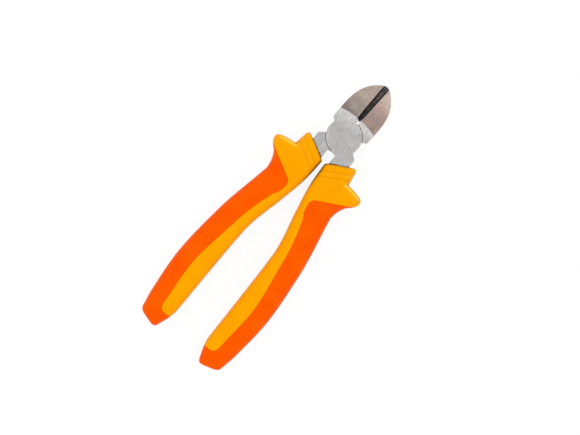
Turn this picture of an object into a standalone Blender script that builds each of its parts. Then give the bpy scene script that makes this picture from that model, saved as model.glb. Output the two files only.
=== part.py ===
"""Insulated diagonal cutter: two lapped steel forgings on a rivet, with two-layer moulded handles.

Metres, +Z up. +Y runs from the rivet to the jaw tip and +Z out of the front face. The origin is on
the rivet's axis, on the flat back face of the joint. Every piece is modelled about the parting plane
as part of the front lever. The rear lever is the same lever turned over about the long axis, but for
the lean of its jaw and a relief slot.
"""

import math

import bpy
import bmesh
from mathutils import Matrix, Vector
from mathutils.geometry import interpolate_bezier

# Lap joint
JOINT_THICKNESS = 0.0100
JOINT_RADIUS = 0.00875
LAP_GAP = 0.0001
RIM_GAP = 0.00025
EDGE_CHAMFER = 0.0003
SHOULDER_ANGLE = math.radians(22.3)
SHOULDER_ROUND = 0.0004

# Rivet
RIVET_RADIUS = 0.0030
RIVET_HEAD_RADIUS = 0.0042
RIVET_CONE_DEPTH = 0.0012
RIVET_GAP = 0.0001

# Jaws, which lean a little to the right of the handles' middle line
JAW_REACH = 0.0320
JAW_OVERHANG = 0.00175
JAW_HEEL_RISE = 0.0017
JAW_LEAN = math.radians(2.1)
FLANK_START = 0.0108
FLANK_FULLNESS = 0.0064
NOSE_HALF_WIDTH = 0.00115
NOSE_DROP = 0.00043
NOSE_FULLNESS = 0.0109
NOSE_SLOPE = math.radians(31.0)

# Ground faces of the jaws
GRIND_MARGIN = 0.0026
GRIND_ARC_RADIUS = 0.0320
GRIND_STEP = 0.00035
GRIND_TAPER = math.radians(8.0)

# Cutting edges, with a V above and below them, and a relief slot in the rear jaw at their base
EDGE_GAP = 0.0001
EDGE_LAND = 0.0002
SLOT_WIDTH = 0.0011
SLOT_LENGTH = 0.0020
BEVEL_WIDTH = 0.0009
BEVEL_ANGLE = math.radians(42.0)
GROOVE_WALL_WIDTH = 0.0004
GROOVE_RUN_IN = 0.0030
GROOVE_RUN_IN_WIDTH = 0.0004

# Neck and tang
NECK_INNER = 0.0023
NECK_OVERHANG = 0.00225
NECK_HEEL_DROP = 0.0023
NOTCH_MARGIN = 0.00045
TANG_ROOT_WIDTH = 0.0060
TANG_ROOT_THICKNESS = 0.0070
TANG_TIP_WIDTH = 0.0046
TANG_TIP_THICKNESS = 0.0048
TANG_ROOT_DEPTH = 0.0030
TANG_TIP_COVER = 0.0175
TANG_POWER = 6.0

# Handle sections from the collar to the tail, each a line across the handle that slants up outward:
# the distance of its middle below the pivot or the section above, its inner and outer edges, its
# thickness and its slant
COLLAR_DROP = 0.01142
COLLAR_INNER = 0.00076
COLLAR_OUTER = 0.01505
COLLAR_THICKNESS = 0.0124
COLLAR_SLANT = math.radians(28.3)

COLLAR_LENGTH = 0.00898
GUARD_INNER = 0.00125
GUARD_OUTER = 0.0164
GUARD_THICKNESS = 0.0132

GUARD_LENGTH = 0.0171
WAIST_INNER = 0.00405
WAIST_OUTER = 0.0197
WAIST_THICKNESS = 0.0126
WAIST_SLANT = math.radians(22.0)

WAIST_LENGTH = 0.0275
PALM_INNER = 0.00885
PALM_OUTER = 0.02525
PALM_THICKNESS = 0.0130
PALM_SLANT = math.radians(5.0)

PALM_LENGTH = 0.0270
BELLY_INNER = 0.00943
BELLY_OUTER = 0.02745
BELLY_THICKNESS = 0.0132
BELLY_SLANT = math.radians(0.0)

BELLY_LENGTH = 0.0220
HEEL_INNER = 0.00968
HEEL_OUTER = 0.0258
HEEL_THICKNESS = 0.0122
HEEL_SLANT = math.radians(4.0)

HEEL_LENGTH = 0.0121
TAIL_INNER = 0.0134
TAIL_OUTER = 0.0239
TAIL_THICKNESS = 0.0104
TAIL_SLANT = math.radians(16.5)
TAIL_ROUND = 0.0018

SECTION_POWER = 3.6

# Collar rings and hand guard
COLLAR_ROUND = 0.0007
COLLAR_CORNER_WIDTH = 0.0016
COLLAR_CORNER_LENGTH = 0.0028
FIRST_GROOVE = 0.0043
LAST_GROOVE = 0.0016
RING_GROOVE_WIDTH = 0.0019
RING_GROOVE_DEPTH = 0.0002
GUARD_OVERHANG = 0.00975
GUARD_TOP_LENGTH = 0.0082
GUARD_UNDER_LENGTH = 0.0030
GUARD_ROOT_OVERHANG = 0.0062

# Pull of the guard's curves, as shares across and along each stretch of its outline
NOTCH_PULL = (0.82, 0.58)
TIP_TOP_PULL = (0.0, 0.20)
TIP_UNDER_PULL = (0.0, 0.70)
ROOT_UNDER_PULL = (0.60, 0.22)
ROOT_FLARE_PULL = (0.45, 0.09)
WAIST_FLARE_PULL = (0.0, 0.55)

# Two moulded layers, and the strip of sleeve that shows along the inner side of the grip
GRIP_WALL = 0.0018
GRIP_LIP = 0.00075
MOULD_GAP = 0.00025
CORE_OVERLAP = 0.0055
CORE_TAIL_GAP = 0.0055
STRIP_GUARD_WIDTH = 0.0035
STRIP_LOBE_WIDTH = 0.0046
STRIP_LOBE_LENGTH = 0.0040
STRIP_PALM_WIDTH = 0.00615
STRIP_BELLY_WIDTH = 0.00905
STRIP_HEEL_WIDTH = 0.00735
STRIP_TAIL_GAP = 0.0073
STRIP_TOP_CORNER = 0.0026
STRIP_END_CORNER = 0.0032

# Facets and stations
DISC_FACETS = 60
RIVET_FACETS = 36
SECTION_FACETS = 20
TANG_FACETS = 12
TANG_RINGS = 10
CORE_RINGS = 14
FLANK_POINTS = 14
CORNER_POINTS = 5
STRIP_POINTS = 21
GUARD_TOP_POINTS = 8
GUARD_UNDER_POINTS = 6
GUARD_FLARE_POINTS = 5
COLLAR_RINGS = 6
TAIL_RINGS = 3
WAIST_RINGS = 5
PALM_RINGS = 4
BELLY_RINGS = 4
HEEL_RINGS = 3

# Share of the way to a corner at which a curve's handle makes a round turn
ARC_PULL = 0.55

# Angle above which an edge between two facets of a loft is sharp
SHARP_ANGLE = math.radians(35.0)

# Distance at which two points of a mesh are one
WELD = 1e-6

# Reach of a cutter past anything that it cuts
OVERRUN = 0.0010
FAR = 0.0400

# Places that follow from the sizes above
HALF_THICKNESS = JOINT_THICKNESS / 2
JAW_HALF_WIDTH = JOINT_RADIUS + JAW_OVERHANG
NECK_OUTER = JOINT_RADIUS + NECK_OVERHANG
SHOULDER_HEIGHT = JOINT_RADIUS * math.sin(SHOULDER_ANGLE)
SLOT_TOP = JOINT_RADIUS + SLOT_LENGTH
GRIND_START = JOINT_RADIUS + GRIND_MARGIN
GUARD_DROP = COLLAR_DROP + COLLAR_LENGTH
WAIST_DROP = GUARD_DROP + GUARD_LENGTH
PALM_DROP = WAIST_DROP + WAIST_LENGTH
BELLY_DROP = PALM_DROP + PALM_LENGTH
HEEL_DROP = BELLY_DROP + BELLY_LENGTH
TAIL_DROP = HEEL_DROP + HEEL_LENGTH
GUARD_REACH = GUARD_OUTER + GUARD_OVERHANG
GUARD_TIP_DROP = GUARD_DROP + GUARD_TOP_LENGTH
GUARD_ROOT_DROP = GUARD_TIP_DROP + GUARD_UNDER_LENGTH
GRIP_START_DROP = GUARD_ROOT_DROP - GRIP_LIP
CORE_END_DROP = TAIL_DROP - CORE_TAIL_GAP
TANG_END_DROP = CORE_END_DROP - TANG_TIP_COVER
SECTION_HEIGHTS = (-TAIL_DROP, -HEEL_DROP, -BELLY_DROP, -PALM_DROP, -WAIST_DROP, -GUARD_DROP, -COLLAR_DROP)


# Scene helpers

def clear_scene():
    for obj in list(bpy.data.objects):
        bpy.data.objects.remove(obj, do_unlink=True)


def new_collection(name):
    collection = bpy.data.collections.new(name)
    bpy.context.scene.collection.children.link(collection)
    return collection


def material(name, colour, metallic, roughness):
    mat = bpy.data.materials.new(name)
    mat.use_nodes = True
    shader = mat.node_tree.nodes["Principled BSDF"]
    shader.inputs["Base Color"].default_value = (*colour, 1.0)
    shader.inputs["Metallic"].default_value = metallic
    shader.inputs["Roughness"].default_value = roughness
    return mat


def place(name, data, collection, parent):
    obj = bpy.data.objects.new(name, data)
    collection.objects.link(obj)
    obj.parent = parent
    return obj


def cutter(name, mesh, parent):
    obj = place(name, mesh, cutters, parent)
    obj.hide_render = True
    obj.display_type = "WIRE"
    return obj


def boolean(obj, tool, operation):
    modifier = obj.modifiers.new(f"{operation.lower()} {tool.name}", "BOOLEAN")
    modifier.operation = operation
    modifier.solver = "EXACT"
    modifier.object = tool


def evaluated_mesh(obj):
    bpy.context.view_layer.update()
    return bpy.data.meshes.new_from_object(obj.evaluated_get(bpy.context.evaluated_depsgraph_get()))


# Curves and solids

def smooth_curve(knots, values, at):
    """Monotone cubic through the knots, so that a curve never swings past its stated sizes."""
    spans = [b - a for a, b in zip(knots, knots[1:])]
    slopes = [(b - a) / span for a, b, span in zip(values, values[1:], spans)]
    tangents = [slopes[0]]
    for left, right in zip(slopes, slopes[1:]):
        tangents.append(2 * left * right / (left + right) if left * right > 0 else 0.0)
    tangents.append(slopes[-1])
    i = max(k for k in range(len(spans)) if k == 0 or knots[k] <= at)
    u = (at - knots[i]) / spans[i]
    rise = (3 - 2 * u) * u * u
    bend = u * (1 - u) * spans[i] * ((1 - u) * tangents[i] - u * tangents[i + 1])
    return values[i] * (1 - rise) + values[i + 1] * rise + bend


def bezier(start, start_handle, end_handle, end, count):
    points = [Vector((*p, 0.0)) for p in (start, start_handle, end_handle, end)]
    return [(p.x, p.y) for p in interpolate_bezier(*points, count)]


def rounded(before, corner, after, size):
    """Round turn at a corner of an outline, as long on both of its sides as the given size."""
    corner = Vector(corner)
    start = corner + (Vector(before) - corner).normalized() * size
    end = corner + (Vector(after) - corner).normalized() * size
    return bezier(start, start.lerp(corner, ARC_PULL), end.lerp(corner, ARC_PULL), end, CORNER_POINTS)


def on_circle(radius, angle, centre=(0.0, 0.0)):
    return (centre[0] + radius * math.cos(angle), centre[1] + radius * math.sin(angle))


def arc(radius, start, end, centre=(0.0, 0.0)):
    steps = math.ceil(abs(end - start) / (2 * math.pi) * DISC_FACETS)
    return [on_circle(radius, start + (end - start) * k / steps, centre) for k in range(steps + 1)]


def turned_in_plan(points, angle):
    """Plan points turned clockwise about the rivet's axis."""
    turn = Matrix.Rotation(-angle, 2)
    return [tuple(turn @ Vector(p)) for p in points]


def extruded(outline, half_depth, chamfer=0.0):
    """Mesh of a flat closed outline, extruded to both sides of the parting plane."""
    curve = bpy.data.curves.new("outline", "CURVE")
    curve.dimensions = "2D"
    curve.fill_mode = "BOTH"
    curve.extrude = half_depth - chamfer
    curve.bevel_depth = chamfer
    curve.bevel_resolution = 0
    curve.offset = -chamfer
    spline = curve.splines.new("POLY")
    spline.points.add(len(outline) - 1)
    for point, (x, y) in zip(spline.points, outline):
        point.co = (x, y, 0.0, 1.0)
    spline.use_cyclic_u = True
    obj = place("outline", curve, cutters, None)
    mesh = evaluated_mesh(obj)
    bpy.data.objects.remove(obj, do_unlink=True)
    bm = bmesh.new()
    bm.from_mesh(mesh)
    bmesh.ops.remove_doubles(bm, verts=bm.verts, dist=WELD)
    bmesh.ops.recalc_face_normals(bm, faces=bm.faces)
    bm.to_mesh(mesh)
    bm.free()
    return mesh


def loft(name, rings):
    """Closed mesh through rings of equal point count, with a flat cap at each end."""
    bm = bmesh.new()
    rows = [[bm.verts.new(p) for p in ring] for ring in rings]
    for lower, upper in zip(rows, rows[1:]):
        for k in range(len(lower)):
            following = (k + 1) % len(lower)
            bm.faces.new((lower[k], lower[following], upper[following], upper[k]))
    bm.faces.new(rows[0])
    bm.faces.new(rows[-1])
    bmesh.ops.recalc_face_normals(bm, faces=bm.faces)
    mesh = bpy.data.meshes.new(name)
    bm.to_mesh(mesh)
    bm.free()
    mesh.shade_smooth()
    mesh.set_sharp_from_angle(angle=SHARP_ANGLE)
    return mesh


def profile_mesh(name, profile):
    """Edges of a turned profile that runs down its outer side."""
    mesh = bpy.data.meshes.new(name)
    edges = [(k, k + 1) for k in range(len(profile) - 1)]
    mesh.from_pydata([(r, 0.0, z) for r, z in profile], edges, [])
    return mesh


def turn(obj):
    """Turn a profile about the rivet's axis."""
    screw = obj.modifiers.new("turn", "SCREW")
    screw.steps = RIVET_FACETS
    screw.render_steps = RIVET_FACETS
    screw.use_merge_vertices = True
    screw.merge_threshold = WELD


# Handle form

def along(values, y):
    """Value at a height, from one value for each handle section, tail to collar."""
    return smooth_curve(SECTION_HEIGHTS, values, min(y, -COLLAR_DROP))


def inner_edge(y):
    return along((TAIL_INNER, HEEL_INNER, BELLY_INNER, PALM_INNER, WAIST_INNER, GUARD_INNER, COLLAR_INNER), y)


def outer_edge(y):
    """Outer edge of the handle without its hand guard."""
    return along((TAIL_OUTER, HEEL_OUTER, BELLY_OUTER, PALM_OUTER, WAIST_OUTER, GUARD_OUTER, COLLAR_OUTER), y)


def thickness(y):
    return along((TAIL_THICKNESS, HEEL_THICKNESS, BELLY_THICKNESS, PALM_THICKNESS, WAIST_THICKNESS,
                  GUARD_THICKNESS, COLLAR_THICKNESS), y)


def slant(y):
    """Slant of the sections: that of the collar as far as the grip's start, then easing off."""
    heights = (-TAIL_DROP, -HEEL_DROP, -BELLY_DROP, -PALM_DROP, -WAIST_DROP, -GRIP_START_DROP)
    values = (TAIL_SLANT, HEEL_SLANT, BELLY_SLANT, PALM_SLANT, WAIST_SLANT, COLLAR_SLANT)
    return smooth_curve(heights, values, min(y, -GRIP_START_DROP))


def middle(y):
    return (inner_edge(y) + outer_edge(y)) / 2


def on_section(x, y):
    """Plan point at x on the slanted line of the section at height y."""
    return (x, y + (x - middle(y)) * math.tan(slant(y)))


def section(y, inner, outer, full_thickness, power, count, inset=0.0):
    """Ring of points round a section: a rounded rectangle that stands on its slanted line."""
    half_width = (outer - inner) / 2 - inset
    half_height = full_thickness / 2 - inset
    ring = []
    for k in range(count):
        angle = 2 * math.pi * (k + 0.5) / count
        across = math.copysign(abs(math.cos(angle)) ** (2 / power), math.cos(angle))
        up = math.copysign(abs(math.sin(angle)) ** (2 / power), math.sin(angle))
        ring.append((*on_section((inner + outer) / 2 + across * half_width, y), up * half_height))
    return ring


def guard_stations():
    """Stations from the notch above the guard, over its tip and back into the waist of the grip."""
    notch = Vector((GUARD_OUTER, -GUARD_DROP))
    tip = Vector((GUARD_REACH, -GUARD_TIP_DROP))
    root = Vector((GUARD_OUTER + GUARD_ROOT_OVERHANG, -GUARD_ROOT_DROP))
    waist = Vector((WAIST_OUTER, -WAIST_DROP))
    stretches = ((notch, NOTCH_PULL, TIP_TOP_PULL, tip, GUARD_TOP_POINTS),
                 (tip, TIP_UNDER_PULL, ROOT_UNDER_PULL, root, GUARD_UNDER_POINTS),
                 (root, ROOT_FLARE_PULL, WAIST_FLARE_PULL, waist, GUARD_FLARE_POINTS))
    outline = [notch]
    for start, start_pull, end_pull, end, count in stretches:
        start_handle = start + Vector(start_pull) * (end - start)
        end_handle = end + Vector(end_pull) * (start - end)
        outline += bezier(start, start_handle, end_handle, end, count)[1:]
    return [(y, x, 0.0, 0.0) for x, y in outline]


def groove_stations(y):
    """Stations across one ring groove of the collar, which fades out at the sides of the handle."""
    half = RING_GROOVE_WIDTH / 2
    steps = ((half, 0.0), (half / 2, RING_GROOVE_DEPTH), (-half / 2, RING_GROOVE_DEPTH), (-half, 0.0))
    return [(y + rise, outer_edge(y + rise), 0.0, dip) for rise, dip in steps]


def round_off(distance, length):
    """Share of a rounding's width that is cut away at a distance from the end where it starts."""
    left = max(0.0, 1 - distance / length)
    return 1 - math.sqrt(1 - left * left)


def handle_stations():
    """Height, outer edge, inset and dip of every section of the whole handle, collar to tail."""
    stations = []
    for k in range(COLLAR_RINGS):
        distance = COLLAR_CORNER_LENGTH * (1 - math.cos(math.pi / 2 * k / (COLLAR_RINGS - 1)))
        y = -COLLAR_DROP - distance
        corner = COLLAR_CORNER_WIDTH * round_off(distance, COLLAR_CORNER_LENGTH)
        stations.append((y, outer_edge(y) - corner, COLLAR_ROUND * round_off(distance, COLLAR_ROUND), 0.0))
    stations += groove_stations(-COLLAR_DROP - FIRST_GROOVE)
    stations += groove_stations(-GUARD_DROP + LAST_GROOVE)
    stations += guard_stations()
    shoulder = -TAIL_DROP + TAIL_ROUND
    for top, bottom, count in ((-WAIST_DROP, -PALM_DROP, WAIST_RINGS), (-PALM_DROP, -BELLY_DROP, PALM_RINGS),
                               (-BELLY_DROP, -HEEL_DROP, BELLY_RINGS), (-HEEL_DROP, shoulder, HEEL_RINGS)):
        for k in range(1, count + 1):
            y = top + (bottom - top) * k / count
            stations.append((y, outer_edge(y), 0.0, 0.0))
    for k in range(1, TAIL_RINGS + 1):
        angle = math.pi / 2 * k / TAIL_RINGS
        y = shoulder - TAIL_ROUND * math.sin(angle)
        stations.append((y, outer_edge(y), TAIL_ROUND * (1 - math.cos(angle)), 0.0))
    return stations


def handle_mesh():
    """Outer form of a whole handle: collar with ring grooves, hand guard, grip and rounded tail."""
    rings = [section(y, inner_edge(y), outer, thickness(y) - 2 * dip, SECTION_POWER, SECTION_FACETS, inset)
             for y, outer, inset, dip in handle_stations()]
    return loft("handle", rings)


def core_mesh(gap):
    """Inner body of the sleeve under the grip, grown by a gap for the hollow of the grip."""
    start = -GRIP_START_DROP + CORE_OVERLAP + gap
    end = -CORE_END_DROP - gap
    heights = [start + (end - start) * k / (CORE_RINGS - 1) for k in range(CORE_RINGS)]
    rings = [section(y, inner_edge(y), outer_edge(y), thickness(y), SECTION_POWER, SECTION_FACETS,
                     GRIP_WALL - gap) for y in heights]
    return loft("core", rings)


def tang_mesh(gap):
    """Tapered tang from inside the neck down the middle of the handle, grown by a gap for its pocket."""
    start = -COLLAR_DROP + TANG_ROOT_DEPTH
    end = -TANG_END_DROP - gap
    rings = []
    for k in range(TANG_RINGS):
        share = k / (TANG_RINGS - 1)
        y = start + (end - start) * share
        half_width = (TANG_ROOT_WIDTH * (1 - share) + TANG_TIP_WIDTH * share) / 2
        depth = TANG_ROOT_THICKNESS * (1 - share) + TANG_TIP_THICKNESS * share
        rings.append(section(y, middle(y) - half_width, middle(y) + half_width, depth, TANG_POWER,
                             TANG_FACETS, -gap))
    return loft("tang", rings)


def strip_edge(y):
    """Plan point where the strip of sleeve along the inner side meets the grip."""
    heights = (-HEEL_DROP, -BELLY_DROP, -PALM_DROP, -WAIST_DROP - STRIP_LOBE_LENGTH, -WAIST_DROP,
               -GRIP_START_DROP)
    widths = (STRIP_HEEL_WIDTH, STRIP_BELLY_WIDTH, STRIP_PALM_WIDTH, STRIP_LOBE_WIDTH, STRIP_GUARD_WIDTH,
              STRIP_GUARD_WIDTH)
    return on_section(inner_edge(y) + smooth_curve(heights, widths, y), y)


def sleeve_outline(gap):
    """Plan region where the sleeve reaches the surface: collar, guard and inner strip, grown by a gap."""
    grip_line = on_section(FAR, -GRIP_START_DROP)
    top = -GRIP_START_DROP - STRIP_TOP_CORNER
    edge = [strip_edge(top + (-HEEL_DROP - top) * k / (STRIP_POINTS - 1)) for k in range(STRIP_POINTS)]
    end_y = -TAIL_DROP + STRIP_TAIL_GAP
    heading = (edge[-1][0] - edge[-2][0]) / (edge[-1][1] - edge[-2][1])
    end_corner = (edge[-1][0] + (end_y - edge[-1][1]) * heading, end_y)
    inner_side = (-FAR, end_y)
    boundary = [grip_line]
    boundary += rounded(grip_line, strip_edge(-GRIP_START_DROP), edge[0], STRIP_TOP_CORNER)
    boundary += edge[1:]
    boundary += rounded(edge[-1], end_corner, inner_side, STRIP_END_CORNER)
    boundary.append(inner_side)
    grown = []
    for k, (x, y) in enumerate(boundary):
        ahead = Vector(boundary[min(k + 1, len(boundary) - 1)])
        behind = Vector(boundary[max(k - 1, 0)])
        direction = (ahead - behind).normalized()
        grown.append((x - direction.y * gap, y + direction.x * gap))
    return grown + [(-FAR, 0.0), (FAR, 0.0)]


# Forged half

def half_outline(lean, slot_width):
    """Plan of a half, counterclockwise from the base of the cutting edge: left jaw, disc and right neck.

    The heel of the jaw keeps its height when the jaw leans.
    """
    edge_x = -EDGE_GAP / 2
    nose = Vector((-NOSE_HALF_WIDTH, JAW_REACH - NOSE_DROP))
    nose_handle = nose + NOSE_FULLNESS * Vector((-math.cos(NOSE_SLOPE), -math.sin(NOSE_SLOPE)))
    flank = Vector((-JAW_HALF_WIDTH, FLANK_START))
    jaw_heel = (-JAW_HALF_WIDTH, SHOULDER_HEIGHT + JAW_HEEL_RISE - JAW_HALF_WIDTH * math.tan(lean))
    jaw = [(edge_x, JAW_REACH)]
    if slot_width:
        jaw = [(edge_x - slot_width, SLOT_TOP), (edge_x, SLOT_TOP)] + jaw
    jaw += bezier(nose, nose_handle, flank + Vector((0.0, FLANK_FULLNESS)), flank, FLANK_POINTS)
    jaw += rounded(flank, jaw_heel, on_circle(JOINT_RADIUS, math.pi - SHOULDER_ANGLE), SHOULDER_ROUND)

    seat = MOULD_GAP / math.cos(COLLAR_SLANT)
    inner_end, outer_end = [on_section(x, -COLLAR_DROP + seat) for x in (NECK_INNER, NECK_OUTER)]
    notch = (NECK_INNER, -JOINT_RADIUS - NOTCH_MARGIN)
    neck_heel = (NECK_OUTER, -SHOULDER_HEIGHT - NECK_HEEL_DROP)
    neck = [notch, inner_end, outer_end]
    neck += rounded(outer_end, neck_heel, on_circle(JOINT_RADIUS, -SHOULDER_ANGLE), SHOULDER_ROUND)

    tangent = math.atan2(notch[1], notch[0]) - math.acos(JOINT_RADIUS / math.hypot(*notch))
    base_angle = math.acos((edge_x - slot_width) / JOINT_RADIUS)
    outline = turned_in_plan(jaw, lean)
    outline += arc(JOINT_RADIUS, math.pi - SHOULDER_ANGLE, tangent + 2 * math.pi)
    outline += neck
    outline += arc(JOINT_RADIUS, -SHOULDER_ANGLE, base_angle - lean)
    return outline


def ground_height(y):
    """Height of the ground jaw face above the parting plane."""
    return HALF_THICKNESS - GRIND_STEP - (y - GRIND_START) * math.tan(GRIND_TAPER)


def grind_mesh(side):
    """Cutter whose tapered underside is the ground face of the jaw, bounded by an arc by the joint."""
    centre = (0.0, GRIND_START - GRIND_ARC_RADIUS)
    reach = JAW_HALF_WIDTH + OVERRUN
    half_angle = math.asin(reach / GRIND_ARC_RADIUS)
    outline = arc(GRIND_ARC_RADIUS, math.pi / 2 + half_angle, math.pi / 2 - half_angle, centre)
    outline += [(reach, JAW_REACH + OVERRUN), (-reach, JAW_REACH + OVERRUN)]
    mesh = extruded(outline, HALF_THICKNESS)
    for vertex in mesh.vertices:
        vertex.co.z = side * (ground_height(vertex.co.y) + HALF_THICKNESS + vertex.co.z)
    if side < 0:
        mesh.flip_normals()
    return mesh


def groove_mesh(side):
    """Cutter of one side's V: the cutting bevel, then a steep wall up to the ground face."""
    base = SLOT_TOP - EDGE_LAND
    full = base + GROOVE_RUN_IN
    tip = JAW_REACH + OVERRUN
    low = EDGE_LAND / 2
    slope = math.tan(BEVEL_ANGLE)
    sky = HALF_THICKNESS + 2 * OVERRUN
    rings = []
    for y, bevel, top in ((base, BEVEL_WIDTH - GROOVE_RUN_IN_WIDTH, HALF_THICKNESS),
                          (full, BEVEL_WIDTH, ground_height(full)), (tip, BEVEL_WIDTH, ground_height(tip))):
        foot = Vector((-bevel, low + bevel * slope))
        ridge = Vector((-bevel - GROOVE_WALL_WIDTH, top))
        above = ridge + (ridge - foot).normalized() * OVERRUN
        profile = ((OVERRUN, low - OVERRUN * slope), foot, above, (above.x, sky), (OVERRUN, sky))
        rings.append([(x, y, side * z) for x, z in profile])
    return loft("groove", rings)


def recess_mesh():
    """Room for the other half's disc: everything behind the lap face, out to the rim gap."""
    half_depth = (HALF_THICKNESS + OVERRUN) / 2
    mesh = extruded(arc(JOINT_RADIUS + RIM_GAP, 0.0, 2 * math.pi)[:-1], half_depth)
    for vertex in mesh.vertices:
        vertex.co.z += LAP_GAP / 2 - half_depth
    return mesh


def rivet_profile(gap, overrun):
    """Shank with a countersunk head at each end, grown by a gap for the hole it sits in."""
    head = RIVET_HEAD_RADIUS + gap
    upper = [(0.0, HALF_THICKNESS + overrun), (head, HALF_THICKNESS + overrun)]
    if overrun:
        upper.append((head, HALF_THICKNESS))
    upper.append((RIVET_RADIUS + gap, HALF_THICKNESS - RIVET_CONE_DEPTH))
    return upper + [(r, -z) for r, z in reversed(upper)]


def forged_half(name, lever, lean, slot_width):
    """Jaw, half of the lap joint, neck and tang in one forging."""
    half = place(name, extruded(half_outline(lean, slot_width), HALF_THICKNESS, EDGE_CHAMFER), parts, lever)
    half.data.materials.append(steel)
    boolean(half, cutter(f"{name}_tang", tang_mesh(0.0), lever), "UNION")
    boolean(half, cutter(f"{name}_lap_recess", recess_mesh(), lever), "DIFFERENCE")
    for face, side in (("front", 1), ("back", -1)):
        for kind, mesh in (("grind", grind_mesh(side)), ("groove", groove_mesh(side))):
            tool = cutter(f"{name}_{face}_{kind}", mesh, lever)
            tool.rotation_euler.z = -lean
            boolean(half, tool, "DIFFERENCE")
    hole = cutter(f"{name}_rivet_hole", profile_mesh("rivet_hole", rivet_profile(RIVET_GAP, OVERRUN)), lever)
    turn(hole)
    boolean(half, hole, "DIFFERENCE")


def rivet(name, lever):
    obj = place(name, profile_mesh(name, rivet_profile(0.0, 0.0)), parts, lever)
    turn(obj)
    obj.data.materials.append(rivet_steel)


def sleeve(name, lever):
    """Insulating sleeve: collar, guard and inner strip at the surface, and a core under the grip."""
    obj = place(name, handle_mesh(), parts, lever)
    obj.data.materials.append(yellow)
    boolean(obj, cutter(f"{name}_region", extruded(sleeve_outline(0.0), FAR), lever), "INTERSECT")
    boolean(obj, cutter(f"{name}_core", core_mesh(0.0), lever), "UNION")
    boolean(obj, cutter(f"{name}_tang_pocket", tang_mesh(MOULD_GAP), lever), "DIFFERENCE")
    return obj


def grip(name, lever):
    """Grip layer over the outer side and the tail of the sleeve's core."""
    obj = place(name, handle_mesh(), parts, lever)
    obj.data.materials.append(orange)
    boolean(obj, cutter(f"{name}_sleeve_room", extruded(sleeve_outline(MOULD_GAP), FAR), lever), "DIFFERENCE")
    boolean(obj, cutter(f"{name}_core_room", core_mesh(MOULD_GAP), lever), "DIFFERENCE")
    return obj


clear_scene()
parts = new_collection("insulated_diagonal_cutter")
cutters = new_collection("cutters")
steel = material("forged_steel", (0.50, 0.48, 0.46), 1.0, 0.38)
rivet_steel = material("rivet_steel", (0.52, 0.50, 0.48), 1.0, 0.34)
yellow = material("yellow_insulation", (1.0, 0.37, 0.002), 0.0, 0.45)
orange = material("orange_grip", (0.98, 0.11, 0.001), 0.0, 0.55)

parting_plane = place("parting_plane", None, parts, None)
parting_plane.location.z = HALF_THICKNESS
front_lever = place("front_lever", None, parts, parting_plane)
rear_lever = place("rear_lever", None, parts, parting_plane)
rear_lever.rotation_euler.y = math.pi

forged_half("front_half", front_lever, JAW_LEAN, 0.0)
forged_half("rear_half", rear_lever, -JAW_LEAN, SLOT_WIDTH)
rivet("pivot_rivet", front_lever)
right_sleeve = sleeve("right_sleeve", front_lever)
right_grip = grip("right_grip", front_lever)
place("left_sleeve", evaluated_mesh(right_sleeve), parts, rear_lever)
place("left_grip", evaluated_mesh(right_grip), parts, rear_lever)
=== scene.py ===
"""Looks of the insulated diagonal cutter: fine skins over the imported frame, materials, studio and camera.

Metres, in the frame's own axes: +Y to the jaw tip, +Z out of the front face, origin on the rivet's axis on
the back face of the joint. Every skin is modelled about the parting plane as part of the front lever, and
then set on its own lever.
"""

import math

import bmesh
import bpy
from mathutils import Matrix, Vector
from mathutils.geometry import interpolate_bezier, intersect_point_line


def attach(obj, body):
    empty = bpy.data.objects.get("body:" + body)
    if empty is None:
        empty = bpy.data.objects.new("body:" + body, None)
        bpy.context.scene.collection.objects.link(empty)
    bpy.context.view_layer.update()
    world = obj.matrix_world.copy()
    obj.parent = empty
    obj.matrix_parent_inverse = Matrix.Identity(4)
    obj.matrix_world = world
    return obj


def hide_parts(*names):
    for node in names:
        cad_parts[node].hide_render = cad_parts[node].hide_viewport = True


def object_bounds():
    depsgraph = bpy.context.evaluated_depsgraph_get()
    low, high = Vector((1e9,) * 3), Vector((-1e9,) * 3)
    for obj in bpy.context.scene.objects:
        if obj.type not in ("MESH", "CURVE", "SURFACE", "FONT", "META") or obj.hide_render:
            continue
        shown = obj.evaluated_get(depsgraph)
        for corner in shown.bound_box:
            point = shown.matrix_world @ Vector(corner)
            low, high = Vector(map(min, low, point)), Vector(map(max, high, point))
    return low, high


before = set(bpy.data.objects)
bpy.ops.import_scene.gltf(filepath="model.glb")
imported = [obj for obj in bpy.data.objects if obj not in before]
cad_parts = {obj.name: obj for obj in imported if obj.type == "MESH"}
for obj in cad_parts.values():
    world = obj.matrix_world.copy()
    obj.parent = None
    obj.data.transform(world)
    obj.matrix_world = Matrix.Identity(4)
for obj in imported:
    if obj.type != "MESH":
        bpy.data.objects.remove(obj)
cad_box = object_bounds()

# Lap joint and rivet
HALF_THICKNESS = 0.0050
JOINT_RADIUS = 0.00875
LAP_GAP = 0.0001
RIM_GAP = 0.00024
EDGE_ROUND = 0.0001
EDGE_ROUND_STEPS = 3
SHOULDER_ANGLE = math.radians(22.3)
SHOULDER_ROUND = 0.0004
RIVET_RADIUS = 0.0030
RIVET_HEAD_RADIUS = 0.0042
RIVET_CONE_DEPTH = 0.0012
RIVET_GAP = 0.00002

# Jaws, which lean a little to the right of the handles' middle line
JAW_REACH = 0.0320
JAW_OVERHANG = 0.00175
JAW_HEEL_RISE = 0.0017
JAW_LEAN = math.radians(2.1)
FLANK_START = 0.0108
FLANK_FULLNESS = 0.0064
NOSE_HALF_WIDTH = 0.00115
NOSE_DROP = 0.00043
NOSE_FULLNESS = 0.0109
NOSE_SLOPE = math.radians(31.0)

# Ground faces of the jaws
GRIND_MARGIN = 0.0026
GRIND_ARC_RADIUS = 0.0320
GRIND_STEP = 0.00035
GRIND_TAPER = math.radians(8.0)
GRIND_WALL_RUN = 0.00018

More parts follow.
